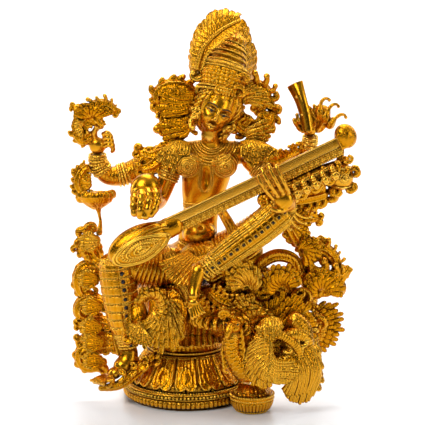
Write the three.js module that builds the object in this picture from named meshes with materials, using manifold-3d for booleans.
// A cast and gilded statuette: a four-armed goddess on a lotus throne plays a veena, with a bird at her feet.
// Millimetres, +Z up. The origin is the centre of the round plinth's underside, and the figure faces -Y.
// "right" and "left" are the figure's own sides, so her right is towards -X.
// The castings are brazed face to face, and a threaded rod up the middle holds the throne together.
import * as THREE from "three";
import { mergeVertices } from "three/addons/utils/BufferGeometryUtils.js";
import Module from "manifold-3d";

const wasm = await Module();
wasm.setup();

// Joints between castings.
const GAP = 0.3; // braze gap between two castings
const ROD_RADIUS = 2.5; // M5 threaded rod
const ROD_CLEARANCE = 0.4;
const ROD_DEPTH = 7; // height of the rod's foot inside the plinth
const ROD_REACH = 9; // how far the rod runs up into the hips

// The throne.
const PLINTH_RADIUS = 50;
const PLINTH_HEIGHT = 13;
const PLINTH_UNDERCUT = 5; // how far the underside is drawn in from the widest rim
const BELL_HEIGHT = 25;
const BELL_FOOT_RADIUS = 44;
const WAIST_RADIUS = 28;
const DRUM_HEIGHT = 32;
const DRUM_FLARE = 4;
const SKIRT_DEPTH = 24; // the cloth valance that hangs round the drum
const SKIRT_THICKNESS = 2.4;
const SEAT_RADIUS = 38;
const SEAT_HEIGHT = 21;

// The bird's stand, a small dish beside the plinth.
const STAND_RADIUS = 16.5;
const STAND_HEIGHT = 18;
const STAND_ANGLE = -40.2; // degrees from +X, seen from above

// The figure and what it holds.
const THIGH_RADIUS = 17;
const SHIN_RADIUS = 11;
const ARM_RADIUS = 7.2;
const VEENA_NECK_WIDTH = 10;
const VEENA_NECK_DEPTH = 8;
const VEENA_RAIL_WIDTH = 6.5; // the beaded rail under the neck
const BOWL_LENGTH = 54;
const BOWL_WIDTH = 31;
const GOURD_RADIUS = 11;
const PEG_RADIUS = 2;
const PEG_LENGTH = 9;
const PEG_COUNT = 7;
const PLUME_RADIUS = 21;
const PLUME_LOBES = 17;
const FAN_RADIUS = 21;
const FAN_LOBES = 9;

// Heights of the throne's storeys, each resting on the one below.
const bellFoot = PLINTH_HEIGHT + GAP;
const drumFoot = bellFoot + BELL_HEIGHT + GAP;
const drumTop = drumFoot + DRUM_HEIGHT;
const seatFoot = drumTop + GAP;
const seatTop = seatFoot + SEAT_HEIGHT;
const rodTop = seatTop + ROD_REACH;
const bore = ROD_RADIUS + ROD_CLEARANCE;

const metal = (color, roughness) => new THREE.MeshStandardMaterial({ color, roughness, metalness: 1 });
const polished = metal(0xd9a011, 0.22); // bare skin, the veena's neck and other burnished faces
const chased = metal(0xc68a0c, 0.34); // cloth, feathers and scrollwork, worked with punches
const steel = metal(0x8c8c88, 0.4);

const group = new THREE.Group();
const placed = []; // for each casting so far, a function that makes it GAP larger all round

function solid(geometry) {
  const plain = new THREE.BufferGeometry();
  plain.setAttribute("position", geometry.getAttribute("position"));
  plain.setIndex(geometry.getIndex());
  const merged = mergeVertices(plain, 1e-4);
  return new wasm.Manifold(
    new wasm.Mesh({
      numProp: 3,
      vertProperties: new Float32Array(merged.getAttribute("position").array),
      triVerts: new Uint32Array(merged.getIndex().array),
    }),
  );
}

const union = (bodies) => bodies.reduce((all, body) => all.add(body));

// A closed tapering bar through stations [x, y, z, radius]. `depth` is its section's depth over its width, and
// `face` the way that depth points. A square bar has 4 sides and `turn` at 45 degrees.
function limb(stations, grow = 0, { sides = 6, steps = 2, depth = 1, face = [0, 1, 0], turn = 0 } = {}) {
  const path = new THREE.CatmullRomCurve3(stations.map(([x, y, z]) => new THREE.Vector3(x, y, z)));
  const last = stations.length - 1;
  const bar = new THREE.CylinderGeometry(1, 1, 1, sides, steps * last, false, THREE.MathUtils.degToRad(turn));
  const position = bar.getAttribute("position");
  const facing = new THREE.Vector3(...face);
  for (let i = 0; i < position.count; i++) {
    const t = THREE.MathUtils.clamp(position.getY(i) + 0.5, 0, 1);
    const tangent = path.getTangent(t);
    const across = new THREE.Vector3().crossVectors(tangent, facing).normalize();
    const deep = new THREE.Vector3().crossVectors(across, tangent);
    const station = Math.min(Math.floor(t * last), last - 1);
    const radius = THREE.MathUtils.lerp(stations[station][3], stations[station + 1][3], t * last - station);
    const point = path.getPoint(t);
    if (t === 0) point.addScaledVector(tangent, -grow);
    if (t === 1) point.addScaledVector(tangent, grow);
    point.addScaledVector(across, position.getX(i) * (radius + grow));
    point.addScaledVector(deep, position.getZ(i) * (radius * depth + grow));
    position.setXYZ(i, point.x, point.y, point.z);
  }
  return solid(bar);
}

// Several bars cast as one piece.
const bars = (list, options) => (grow) => union(list.map((stations) => limb(stations, grow, options)));

// An ellipsoid of half-sizes [a, b, c] about [x, y, z], turned about Y by `lean` degrees.
function ball([x, y, z], [a, b, c], grow = 0, { lean = 0, around = 10, rings = 6 } = {}) {
  const globe = new THREE.SphereGeometry(1, around, rings);
  globe.rotateX(Math.PI / 2);
  globe.scale(a + grow, b + grow, c + grow);
  globe.rotateY(THREE.MathUtils.degToRad(lean));
  globe.translate(x, y, z);
  return solid(globe);
}

// A turned piece from [radius, height] points that start and end on the axis or close on themselves. Grown, a
// ring fills its own bore, so that nothing else is fitted inside it.
function turned(profile, grow = 0, { sides = 28, at = [0, 0], squash = 1 } = {}) {
  const heights = profile.map((point) => point[1]);
  const middle = (Math.min(...heights) + Math.max(...heights)) / 2;
  const innermost = Math.min(...profile.map((point) => point[0]));
  const outline = profile.map(([radius, z]) => {
    const onAxis = radius === 0 || (grow > 0 && radius === innermost);
    return new THREE.Vector2(onAxis ? 0 : radius + grow, z + grow * Math.sign(z - middle));
  });
  const lathe = new THREE.LatheGeometry(outline, sides);
  lathe.rotateX(Math.PI / 2);
  lathe.scale(1, squash, 1);
  lathe.translate(at[0], at[1], 0);
  return solid(lathe);
}

// An upright fan, `lobes` points on an arc from one angle to another, in degrees from +X.
function fan({ at: [x, y, z], radius, lobes, from, to, thickness, stretch = 1, lean = 0 }, grow = 0) {
  const outline = new THREE.Shape();
  const pitch = THREE.MathUtils.degToRad(to - from) / lobes;
  const start = THREE.MathUtils.degToRad(from);
  const lobe = radius * Math.sin(Math.abs(pitch) / 2);
  outline.moveTo(0, 0);
  for (let i = 0; i < lobes; i++) {
    for (const share of [0, 0.5, 1]) {
      const angle = start + (i + share) * pitch;
      const reach = radius + grow + (share === 0.5 ? lobe : 0);
      outline.lineTo(reach * Math.cos(angle), reach * Math.sin(angle));
    }
  }
  outline.closePath();
  const depth = thickness + 2 * grow;
  const plate = new THREE.ExtrudeGeometry(outline, { depth, bevelEnabled: false, curveSegments: 1 });
  plate.translate(0, 0, -depth / 2);
  plate.rotateX(Math.PI / 2);
  plate.scale(1, 1, stretch);
  plate.rotateY(THREE.MathUtils.degToRad(lean));
  plate.translate(x, y, z);
  return solid(plate);
}

// Adds one casting. Those already placed keep their shape, and this one is cut back to GAP clear of them.
function add(name, material, shape) {
  let body = shape(0);
  for (const grown of placed) {
    const neighbour = grown();
    if (body.intersect(neighbour).volume() > 0) body = body.subtract(neighbour);
  }
  const [made] = body.decompose().sort((a, b) => b.volume() - a.volume());
  const { vertProperties, triVerts } = made.getMesh();
  const geometry = new THREE.BufferGeometry();
  geometry.setAttribute("position", new THREE.BufferAttribute(vertProperties, 3));
  geometry.setIndex(new THREE.BufferAttribute(triVerts, 1));
  geometry.computeVertexNormals();
  const mesh = new THREE.Mesh(geometry, material);
  mesh.name = name;
  group.add(mesh);
  let kept;
  placed.push(() => (kept ??= shape(GAP)));
}

// ---- The throne, from the floor up. Its pieces are bored for the rod. ----
const rod = [[0, ROD_DEPTH], [ROD_RADIUS, ROD_DEPTH], [ROD_RADIUS, rodTop], [0, rodTop]];
add("threaded_rod", steel, (grow) => turned(rod, grow, { sides: 10 }));
placed.pop();

const plinthProfile = [
  [0, 0],
  [PLINTH_RADIUS - PLINTH_UNDERCUT, 0],
  [PLINTH_RADIUS - PLINTH_UNDERCUT / 2, 2.4],
  [PLINTH_RADIUS - 1, PLINTH_HEIGHT / 2],
  [PLINTH_RADIUS, PLINTH_HEIGHT - 2.5],
  [PLINTH_RADIUS - 1, PLINTH_HEIGHT],
  [bore, PLINTH_HEIGHT],
  [bore, ROD_DEPTH - ROD_CLEARANCE],
  [0, ROD_DEPTH - ROD_CLEARANCE],
];
add("plinth", chased, (grow) => turned(plinthProfile, grow, { sides: 40 }));

// Closes a storey's outer profile along the rod's bore.
const bored = (profile) => {
  const foot = [bore, profile[0][1]];
  return [foot, ...profile, [bore, profile.at(-1)[1]], foot];
};

const bellProfile = [
  [BELL_FOOT_RADIUS - 1, bellFoot],
  [BELL_FOOT_RADIUS, bellFoot + 3],
  [BELL_FOOT_RADIUS - 5, bellFoot + BELL_HEIGHT * 0.4],
  [WAIST_RADIUS + 5, bellFoot + BELL_HEIGHT * 0.72],
  [WAIST_RADIUS + 1, bellFoot + BELL_HEIGHT],
];
add("lotus_bell", chased, (grow) => turned(bored(bellProfile), grow, { sides: 32 }));

const drumProfile = [
  [WAIST_RADIUS + 2, drumFoot],
  [WAIST_RADIUS, drumFoot + 4],
  [WAIST_RADIUS, drumFoot + DRUM_HEIGHT * 0.6],
  [WAIST_RADIUS + DRUM_FLARE, drumTop],
];
add("throne_drum", chased, (grow) => turned(bored(drumProfile), grow));

const skirtTop = drumTop; // it hangs from the drum's rim
const skirtFoot = skirtTop - SKIRT_DEPTH;
const skirtInner = WAIST_RADIUS + DRUM_FLARE + GAP;
const skirtProfile = [
  [skirtInner, skirtFoot],
  [skirtInner + SKIRT_THICKNESS * 1.6, skirtFoot],
  [skirtInner + SKIRT_THICKNESS, skirtTop],
  [skirtInner, skirtTop],
  [skirtInner, skirtFoot],
];
add("throne_skirt", chased, (grow) => turned(skirtProfile, grow));

const seatProfile = [
  [SEAT_RADIUS - 7, seatFoot],
  [SEAT_RADIUS - 1, seatFoot + 4],
  [SEAT_RADIUS, seatFoot + SEAT_HEIGHT * 0.5],
  [SEAT_RADIUS - 3, seatTop - 4],
  [SEAT_RADIUS - 10, seatTop],
];
add("seat_cushion", chased, (grow) => turned(bored(seatProfile), grow, { squash: 0.9 }));

const holeTop = rodTop + ROD_CLEARANCE;
const rodHole = [[0, seatFoot], [bore, seatFoot], [bore, holeTop], [0, holeTop]];
placed.push(() => turned(rodHole, 0, { sides: 10 })); // the hips are bored for the rod's upper end

// ---- The figure. Its heights are measured from the top of the seat. ----
const seated = (shape) => (grow) => shape(grow).translate([0, 0, seatTop]);
const addSeated = (name, material, shape) => add(name, material, seated(shape));
addSeated("hips", chased, (grow) =>
  union([
    ball([6, 5, 15], [25, 19, 15], grow, { around: 12, rings: 6 }),
    ball([4, -6, 12], [19, 17, 12], grow),
  ]),
);
addSeated("torso", polished, (grow) =>
  union([
    limb(
      [
        [7, 4, 20, 18],
        [9, 1, 35, 14.5],
        [11, 1, 50, 13.5],
        [13, 1, 68, 17],
        [16, 1, 84, 19],
        [19, 1, 97, 15],
        [20, 0, 104, 8],
      ],
      grow,
      { sides: 12, steps: 1, depth: 0.78 },
    ),
    limb([[-7, 2, 95, 7], [19, 2, 97, 8], [46, 2, 96, 7]], grow, { sides: 8, steps: 1, face: [0, 0, 1] }),
    ball([0.5, -12, 85], [10.5, 10, 10.5], grow),
    ball([27, -12, 84], [10.5, 10, 10.5], grow),
    limb([[19, 0, 98, 7], [19, -2, 106, 6], [18.5, -7, 121, 6]], grow, { sides: 8, steps: 1 }),
  ]),
);
addSeated("head", polished, (grow) =>
  union([
    ball([22, -6, 134], [12.5, 14, 15], grow, { lean: 17, around: 14, rings: 9 }),
    ball([19, -11, 125], [8.5, 8.5, 9.5], grow, { lean: 17 }),
  ]),
);
const crown = [
  [24, -3, 143, 17],
  [27, -1, 153, 17.5],
  [30, 3, 164, 16],
  [34, 7, 175, 13],
  [37, 11, 184, 8.5],
  [39, 14, 192, 4.5],
];
addSeated("crown", chased, bars([crown], { sides: 16, steps: 1 }));
const plume = {
  at: [26, 18, 170],
  radius: PLUME_RADIUS,
  lobes: PLUME_LOBES,
  from: -45,
  to: 225,
  thickness: 8,
  stretch: 1.4,
  lean: 6,
};
addSeated("crown_plume", chased, (grow) => fan(plume, grow));

// Curls and ribbons that stand out behind the ears.
const curlRight = [
  [[8, 4, 136, 5], [0, 5, 144, 6], [-12, 5, 144, 7], [-21, 5, 140, 6.5], [-20, 4, 131, 5]],
  [[8, 4, 134, 5], [-4, 5, 130, 6], [-14, 5, 128, 6], [-20, 4, 132, 5]],
  [[8, 4, 134, 5], [4, 5, 120, 5.5], [-6, 5, 116, 6], [-16, 5, 119, 5.5], [-20, 5, 113, 4]],
];
const curlLeft = [
  [[36, 4, 140, 5], [46, 5, 145, 6], [57, 5, 144, 6.5], [64, 5, 137, 6]],
  [[64, 5, 138, 6], [58, 5, 134, 4.5], [53, 4, 129, 3.5]],
  [[34, 4, 138, 5], [37, 5, 122, 5.5], [44, 5, 114, 6], [54, 5, 113, 6], [62, 5, 119, 6], [65, 5, 129, 5]],
];
addSeated("hair_scroll_right", chased, bars(curlRight, { steps: 1, depth: 0.7 }));
addSeated("hair_scroll_left", chased, bars(curlLeft, { steps: 1, depth: 0.7 }));

// The right leg hangs to the front, and the left knee is raised with its shin across the lap.
const rightThigh = [
  [-2, 0, 12, THIGH_RADIUS],
  [-20, -12, 11, THIGH_RADIUS],
  [-38, -21, 15, THIGH_RADIUS * 0.86],
  [-50, -26, 21, THIGH_RADIUS * 0.65],
];
addSeated("right_thigh", chased, bars([rightThigh], { sides: 12, steps: 1 }));
const rightShin = [
  [-52, -27, 26, SHIN_RADIUS - 2],
  [-52, -27, 16, SHIN_RADIUS],
  [-49.5, -28, -6, SHIN_RADIUS + 0.5],
  [-47.5, -27, -26, SHIN_RADIUS - 1.2],
  [-45, -26, -38, SHIN_RADIUS * 0.7],
  [-43.5, -26, -48, SHIN_RADIUS * 0.52],
];
addSeated("right_shin", chased, bars([rightShin], { sides: 12, steps: 1 }));
const rightFoot = [
  [
    [-43.5, -25, -46, 6],
    [-43, -25, -56, 7.6],
    [-48, -29, -61, 7.4],
    [-56, -34, -66, 6.8],
    [-64, -38, -69, 5],
  ],
  [[-43, -25, -54, 5], [-39, -22, -60, 5]],
];
addSeated("right_foot", polished, bars(rightFoot, { sides: 8, steps: 1, face: [0.5, 0.8, 0.2] }));
const leftThigh = [
  [14, -2, 15, THIGH_RADIUS * 0.88],
  [36, -14, 28, THIGH_RADIUS * 0.82],
  [56, -24, 45, THIGH_RADIUS * 0.7],
  [70, -29, 57, THIGH_RADIUS * 0.6],
];
addSeated("left_thigh", chased, bars([leftThigh], { sides: 12, steps: 1 }));
const leftShin = [
  [77, -36, 65, SHIN_RADIUS - 2],
  [70, -38, 59, SHIN_RADIUS],
  [54, -41, 46, SHIN_RADIUS - 0.5],
  [36, -44, 33, SHIN_RADIUS - 1.5],
  [18, -45, 19, SHIN_RADIUS * 0.78],
  [13, -45, 15, SHIN_RADIUS * 0.7],
];
addSeated("left_shin", chased, bars([leftShin], { sides: 12, steps: 1 }));
const leftFoot = [
  [12, -45, 13, 6.6],
  [9, -46, 5, 5.4],
  [7.5, -48, -4, 5],
  [8.5, -51, -12, 5.2],
  [11.5, -55, -18, 3.6],
];
addSeated("left_foot", polished, bars([leftFoot], { sides: 8, steps: 1 }));

// The veena lies on the right knee and rises across the chest. A place on it is given as a share of its neck's
// length, then how far below the neck and how far in front of it.
const neckFoot = new THREE.Vector3(-16, -48, 51);
const neckHead = new THREE.Vector3(112, -36, 110.5);
const neckLine = new THREE.Line3(neckFoot, neckHead);
const neckAxis = neckLine.delta(new THREE.Vector3()).normalize();
const neckLean = -THREE.MathUtils.radToDeg(Math.asin(neckAxis.z));
const neckDown = new THREE.Vector3(neckAxis.z, 0, -neckAxis.x).normalize();
function onVeena(share, down = 0, forward = 0) {
  const point = neckLine.at(share, new THREE.Vector3()).addScaledVector(neckDown, down);
  return [point.x, point.y - forward, point.z];
}
const halfDiagonal = Math.SQRT1_2; // a square bar's side over its limb radius is twice this
const squareBar = { sides: 4, steps: 1, turn: 45 };
const neckRadius = VEENA_NECK_WIDTH * halfDiagonal;
const railDown = (VEENA_NECK_WIDTH + VEENA_RAIL_WIDTH) / 2;
const railRadius = VEENA_RAIL_WIDTH * halfDiagonal;
addSeated("veena_neck", polished, (grow) =>
  limb([[...onVeena(-0.04), neckRadius], [...onVeena(1), neckRadius]], grow, {
    ...squareBar,
    depth: VEENA_NECK_DEPTH / VEENA_NECK_WIDTH,
  }),
);
addSeated("veena_bowl", chased, (grow) =>
  union([
    ball(onVeena(-0.13, 5, 1), [BOWL_LENGTH / 2, 9.5, BOWL_WIDTH / 2], grow, {
      lean: neckLean,
      around: 16,
      rings: 8,
    }),
    limb([[...onVeena(-0.04, 3, 1), 9], [...onVeena(0.06, 4, 0.5), 7], [...onVeena(0.1, 5), 5]], grow, {
      sides: 8,
      steps: 1,
      depth: 0.7,
    }),
  ]),
);
addSeated("veena_rail", chased, (grow) =>
  limb([[...onVeena(0, railDown), railRadius], [...onVeena(1, railDown), railRadius]], grow, squareBar),
);
addSeated("veena_gourd", polished, (grow) =>
  ball([115, -30, 84], [GOURD_RADIUS, GOURD_RADIUS, GOURD_RADIUS + 1], grow, { around: 12, rings: 8 }),
);
addSeated("veena_head", polished, (grow) =>
  ball([117.5, -35.5, 115], [8.5, 7, 10], grow, { lean: neckLean, rings: 8 }),
);
addSeated("veena_frieze", chased, (grow) =>
  union([
    limb(
      [
        [...onVeena(0.5, 15, 0), 6],
        [...onVeena(0.66, 17, 0), 9],
        [...onVeena(0.84, 18, -2), 9],
        [...onVeena(0.96, 18, -4), 6],
      ],
      grow,
      { sides: 8, steps: 1, depth: 0.7 },
    ),
    limb([[70, -34, 74, 5], [82, -30, 68, 6.5], [106, -26, 72, 6]], grow, { sides: 8, steps: 1, depth: 0.7 }),
  ]),
);
const pegPitch = 0.055; // along the neck, as a share of its length
addSeated("veena_pegs", polished, (grow) => {
  const firstPeg = 0.58;
  const lastPeg = firstPeg + pegPitch * (PEG_COUNT - 1);
  const comb = [[...onVeena(firstPeg - 0.02, 14, 6), 1.8], [...onVeena(lastPeg + 0.02, 14, 3.5), 1.8]];
  const pegs = [limb(comb, grow, { sides: 6, steps: 1 })];
  for (let i = 0; i < PEG_COUNT; i++) {
    const share = firstPeg + pegPitch * i;
    const forward = THREE.MathUtils.lerp(9, 6, i / (PEG_COUNT - 1));
    const top = onVeena(share, 13, forward);
    const tip = onVeena(share, 13 + PEG_LENGTH, forward - 2);
    const peg = [[...top, PEG_RADIUS], [...tip, PEG_RADIUS * 1.2]];
    pegs.push(limb(peg, grow, { sides: 6, steps: 1 }));
  }
  return union(pegs);
});

// The arms. The front pair plays the veena, and the rear pair is raised.
const rightFrontArm = [
  [-7, -3, 96, ARM_RADIUS],
  [-13, -4, 80, ARM_RADIUS],
  [-19, -6, 65, ARM_RADIUS - 0.6],
  [-22, -14, 62, ARM_RADIUS - 1],
  [-26.5, -34, 71, ARM_RADIUS - 1.4],
];
addSeated("right_front_arm", polished, bars([rightFrontArm], { sides: 8, face: [1, 0, 0] }));
addSeated("right_front_hand", polished, (grow) =>
  union([
    ball([-29, -41, 71.5], [10, 9, 12], grow, { lean: 20 }),
    limb([[-29, -44, 70, 7], [-31, -52, 65, 5], [-32, -57, 61, 2.6]], grow),
    limb([[-33, -40, 71, 4], [-40, -44, 69, 3], [-44, -47, 67, 2]], grow),
  ]),
);
const leftFrontArm = [
  [44, -2, 96, ARM_RADIUS],
  [58, -8, 83, ARM_RADIUS],
  [74, -18, 72, ARM_RADIUS - 0.6],
  [80, -26, 69, ARM_RADIUS - 1],
  [78, -38, 69, ARM_RADIUS - 1.4],
];
addSeated("left_front_arm", polished, bars([leftFrontArm], { sides: 8, face: [0.3, 0.9, 0.3] }));
const leftFrontHand = [
  [78, -40, 68, 5.8],
  [71, -48, 69, 8],
  [63, -53, 76, 8],
  [57, -54, 85, 6],
  [54, -52, 91, 3],
];
addSeated("left_front_hand", polished, bars([leftFrontHand], { sides: 8, steps: 1, depth: 0.6 }));
const rightRearArm = [
  [-9, 9, 96, ARM_RADIUS],
  [-28, 8, 89, ARM_RADIUS + 1.3],
  [-46, 6, 80, ARM_RADIUS + 1.3],
  [-59, 4, 79, ARM_RADIUS + 0.6],
  [-66, 1, 88, ARM_RADIUS],
  [-67, 0, 97, ARM_RADIUS - 1],
];
addSeated("right_rear_arm", chased, bars([rightRearArm], { sides: 8, steps: 1 }));
const rightRearHand = [
  [-67, 0, 98, 6],
  [-66, -1, 106, 6.6],
  [-62, -2, 114, 5.2],
  [-57, -3, 115, 3.4],
  [-55, -3, 107, 2.6],
];
addSeated("right_rear_hand", polished, bars([rightRearHand], { sides: 8, steps: 1, depth: 0.8 }));
const leftRearArm = [
  [48, 9, 95, ARM_RADIUS],
  [66, 10, 88, ARM_RADIUS],
  [86, 9, 89, ARM_RADIUS - 0.6],
  [93, 6, 102, ARM_RADIUS - 1.4],
  [94, 4, 110, ARM_RADIUS - 2],
];
addSeated("left_rear_arm", polished, bars([leftRearArm], { sides: 8, steps: 1 }));
const leftRearHand = [
  [[94, 4, 111, 4.8], [92, 3, 119, 5.6], [92, 3, 127, 5], [92, 2, 134, 3]],
  [[91, 3, 117, 3], [86, 2, 123, 2.6], [82, 2, 127, 2]],
];
addSeated("left_rear_hand", polished, bars(leftRearHand, { steps: 1, depth: 0.8 }));

// What the rear hands hold: a palm-leaf book and a bud on her left, and on her right a lotus spray over a cup.
const book = [[91, -2.5, 116, 5.5], [87, -2, 133, 6], [83, -1.5, 148, 6.8]];
addSeated("palm_leaf_book", polished, bars([book], { ...squareBar, depth: 0.5 }));
const bud = [[97, 4, 114, 3.4], [103, 4, 123, 6.5], [104, 4, 133, 6], [101, 4, 142, 2.4]];
addSeated("lotus_bud", chased, bars([bud], { steps: 1, depth: 0.8 }));
const spray = [
  [[-62, -3, 117, 3.4], [-67, -3, 121, 5], [-73, -3, 127, 6.5], [-79, -3, 130, 4.5], [-85, -3, 132, 3]],
  [[-73, -3, 128, 6], [-66, -3, 133, 6], [-58, -3, 133, 5], [-52, -3, 128, 3]],
  [[-75, -3, 127, 6], [-79, -3, 120, 5], [-81, -3, 112, 5], [-76, -3, 107, 5], [-70, -3, 110, 3.4]],
];
addSeated("lotus_spray", chased, bars(spray, { steps: 1, depth: 0.8 }));
const cup = [
  [[-73, -2, 88, 4.4], [-79, -3, 81, 5], [-81, -3, 74, 5], [-77, -3, 66, 5]],
  [[-83, -3, 64, 4], [-76, -3, 62, 7], [-67, -3, 61, 8], [-60, -3, 64, 6], [-55, -3, 68, 4]],
  [[-67, -3, 58, 5], [-66, -3, 51, 2.4], [-65, -4, 44, 2.4], [-66, -9, 35, 3.6]],
];
addSeated("lotus_cup", chased, bars(cup, { steps: 1, depth: 0.9 }));

// Cloth: shoulder capes, sash, pleats, and the drapes over the knee and the seat's front.
const capeRight = [
  [[-4, 0, 104, 5], [-14, 0, 98, 7.5], [-26, 0, 94, 7], [-36, 0, 98, 4.4]],
  [[-14, -1, 96, 7], [-25, -2, 87, 7.5], [-35, -2, 85, 4.4]],
];
addSeated("shoulder_cape_right", chased, bars(capeRight, { steps: 1, depth: 0.9 }));
const capeLeft = [
  [[42, 0, 105, 5], [52, -1, 99, 8], [63, -1, 91, 8], [72, 0, 91, 6], [86, 2, 99, 5]],
];
addSeated("shoulder_cape_left", chased, bars(capeLeft, { steps: 1, depth: 0.9 }));
const sash = [[24, -14, 60, 4], [28, -24, 54, 4.6], [33, -28, 46, 5], [36, -30, 38, 5]];
addSeated("waist_sash", chased, bars([sash], { steps: 1, depth: 0.5, face: [0.7, 0.7, 0] }));
const pleats = [[-12, -30, 26, 4], [-8, -32, 14, 6], [0, -34, 4, 6.5], [4, -34, -6, 4.6]];
addSeated("lap_pleats", chased, bars([pleats], { steps: 1, depth: 0.6 }));
const kneeDrape = [
  [[66, -28, 66, 4.4], [76, -25, 57, 8], [84, -22, 50, 7], [92, -16, 51, 6], [100, -14, 49, 4]],
  [[76, -25, 55, 7], [81, -22, 41, 6.5], [88, -18, 31, 6.5], [98, -14, 25, 6], [103, -13, 32, 3.4]],
];
addSeated("knee_drape", chased, bars(kneeDrape, { steps: 1, depth: 0.8 }));
const frontDrape = [
  [[-38, -30, -8, 5], [-34, -36, -18, 8], [-35, -40, -32, 8], [-38, -41, -42, 5]],
  [[-24, -34, -4, 6], [-20, -40, -14, 9.5], [-21, -44, -28, 9.5], [-23, -45, -42, 6]],
  [[-8, -34, -6, 6], [-5, -39, -16, 8.5], [-7, -43, -30, 9], [-6, -43, -41, 5]],
];
addSeated("front_drape", chased, bars(frontDrape, { sides: 8, steps: 1, depth: 0.75 }));

// A lotus under the left foot, and a leaf under the right.
const footLotus = [[0, -30], [9, -30], [20, -24], [24, -18], [20, -16], [0, -20]];
const footLotusStem = [[30, -30, -28, 9], [22, -22, -34, 8], [16, -14, -38, 6]];
addSeated("left_foot_lotus", chased, (grow) =>
  union([
    turned(footLotus, grow, { sides: 16, at: [34, -36], squash: 0.75 }),
    limb(footLotusStem, grow, { steps: 1 }),
  ]),
);
const footLeaf = [
  [-66, -39, -75, 2.8],
  [-52, -37, -73.5, 4],
  [-42, -34, -68, 5],
  [-32, -31, -60, 5],
  [-22, -27, -52, 4.6],
];
addSeated("right_foot_leaf", chased, bars([footLeaf], { steps: 1 }));

// Scrollwork up the outside of the right leg, and up the throne's left side.
const borderRightUpper = [
  [[-60.5, -19, 21, 4], [-59.5, -19, 6, 4], [-57.5, -19, -8, 4]],
  [[-59.5, -19, 14, 4], [-68, -13, 21, 5], [-72, -12, 30, 6.5], [-75, -12, 37, 5.5]],
  [[-70, -13, 21, 4.4], [-77, -12, 23, 4.4], [-82, -12, 27, 3.4]],
  [
    [-58.5, -19, 6, 4],
    [-70, -12, 12, 5],
    [-78, -12, 10, 6],
    [-81, -12, 0, 6],
    [-78, -12, -9, 5],
    [-70, -13, -9, 4],
  ],
];
const borderRightMiddle = [
  [[-56.5, -19, -9, 4], [-55.5, -19, -22, 4], [-54.5, -19, -34, 4]],
  [[-55.5, -19, -19, 4], [-68, -13, -14, 5.4], [-78, -12, -16, 6], [-81, -12, -24, 5.6], [-75, -12, -29, 4]],
  [[-54.5, -19, -32, 4], [-67, -13, -30, 5], [-76, -12, -34, 5], [-83, -12, -34, 3]],
];
const borderRightLower = [
  [[-53.5, -19, -35, 4], [-52.5, -20, -46, 4], [-49.5, -21, -56, 4]],
  [[-52.5, -20, -41, 4], [-66, -13, -41, 4.6], [-75, -12, -44, 5], [-82, -12, -46, 3.4]],
  [
    [-52.5, -20, -48, 4],
    [-68, -12, -51, 5],
    [-79, -12, -54, 5.4],
    [-81, -12, -61, 5],
    [-76, -12, -67, 5],
    [-65, -13, -66, 4.6],
  ],
];
addSeated("right_border_upper", chased, bars(borderRightUpper, { steps: 1, depth: 0.8 }));
addSeated("right_border_middle", chased, bars(borderRightMiddle, { steps: 1, depth: 0.8 }));
addSeated("right_border_lower", chased, bars(borderRightLower, { steps: 1, depth: 0.8 }));

const volutes = [
  [[26, -20, 0, 9], [44, -20, 2, 13], [64, -18, 1, 14.5], [84, -14, 0, 13]],
  [[28, -30, 4, 5], [31, -33, 15, 5], [41, -33, 20, 5], [46, -32, 12, 5]],
  [[50, -26, 6, 6], [56, -28, 18, 5.4], [68, -27, 24, 5.4], [80, -23, 20, 5.4], [84, -20, 8, 5.4]],
];
addSeated("throne_scroll", chased, bars(volutes, { sides: 8, steps: 1, depth: 0.8 }));
const borderLeftFlower = [
  [[86, -13, 0, 9], [100, -12, 2, 13], [112, -12, 0, 9]],
  [[88, -14, 8, 6], [92, -13, 20, 6], [102, -12, 26, 6], [111, -12, 20, 5.5], [115, -12, 11, 4]],
  [[108, -12, 1, 5], [114, -12, 6, 5.4], [119, -12, 6, 4.4], [123, -12, 10, 2.4]],
];
addSeated("left_border_flower", chased, bars(borderLeftFlower, { sides: 8, steps: 1, depth: 0.75 }));
const tailFan = { at: [97, -10, -27], radius: FAN_RADIUS, lobes: FAN_LOBES, from: -62, to: 80, thickness: 7 };
addSeated("left_border_fan", chased, (grow) =>
  union([fan(tailFan, grow), limb([[88, -14, -14, 8], [100, -12, -15, 7.5]], grow, { sides: 8, steps: 1 })]),
);

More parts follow.
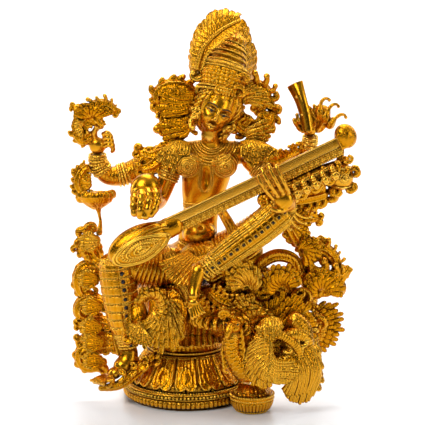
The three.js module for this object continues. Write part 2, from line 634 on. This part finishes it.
// ---- The bird, beside the plinth on its own stand. ----
const standOut = PLINTH_RADIUS + STAND_RADIUS - 1.6; // the plinth's rim nests in the stand's waist
const standAt = new THREE.Vector2(standOut, 0)
  .rotateAround(new THREE.Vector2(), THREE.MathUtils.degToRad(STAND_ANGLE))
  .toArray();
const standProfile = [
  [0, 0],
  [STAND_RADIUS - 4, 0],
  [STAND_RADIUS - 0.5, STAND_HEIGHT * 0.19],
  [STAND_RADIUS - 0.5, STAND_HEIGHT * 0.33],
  [STAND_RADIUS - 2.6, STAND_HEIGHT * 0.53],
  [STAND_RADIUS, STAND_HEIGHT * 0.78],
  [STAND_RADIUS, STAND_HEIGHT * 0.9],
  [STAND_RADIUS - 3, STAND_HEIGHT],
  [0, STAND_HEIGHT],
];
add("bird_stand", chased, (grow) => turned(standProfile, grow, { sides: 24, at: standAt }));

// The bird's places are measured from the middle of the stand's top.
const perched = (shape) => (grow) => shape(grow).translate([standAt[0], standAt[1], STAND_HEIGHT]);
const addPerched = (name, material, shape) => add(name, material, perched(shape));
addPerched("bird_body", chased, (grow) =>
  union([
    ball([15, 5, 26], [17, 15, 17], grow),
    limb([[6, 2, 13, 9], [2, 0, 0.5, 9.5]], grow, { sides: 8, steps: 1 }),
    limb([[15, 5, 32, 10], [15, 3, 46, 8], [16, 1, 53, 5]], grow, { sides: 8, steps: 1 }),
  ]),
);
const birdNeck = [
  [-1, -5, 16, 8],
  [-8, -9, 17, 6.6],
  [-15, -11, 25, 5.8],
  [-17, -11, 36, 6],
  [-18, -10, 48, 5.6],
  [-20, -10, 55, 4],
];
addPerched("bird_neck", chased, bars([birdNeck], { sides: 8, steps: 1 }));
const wingRight = [
  [[13, -11, 40, 4], [3, -14, 36, 7], [-5, -15, 24, 7.5], [-2, -17, 13, 6], [9, -18, 6, 4]],
  [[12, -12, 32, 6], [7, -15, 24, 8], [9, -17, 14, 6]],
];
addPerched("bird_wing_right", chased, bars(wingRight, { steps: 1, depth: 0.6 }));
const wingLeft = [
  [[16, -11, 40, 4], [27, -13, 37, 7.5], [36, -13, 24, 8], [41, -11, 9, 7.5], [43, -7, -4, 5]],
  [[17, -12, 30, 6], [25, -15, 22, 8], [31, -14, 9, 7.5], [37, -11, -2, 5]],
];
addPerched("bird_wing_left", chased, bars(wingLeft, { steps: 1, depth: 0.6 }));
const birdTail = [
  [34, 19, 56, 9],
  [39, 15, 44, 9],
  [44, 9, 26, 8.4],
  [46, 5, 9, 7.4],
  [44, 3, -4, 5],
];
addPerched("bird_tail", chased, bars([birdTail], { sides: 8, steps: 1 }));

export default group;
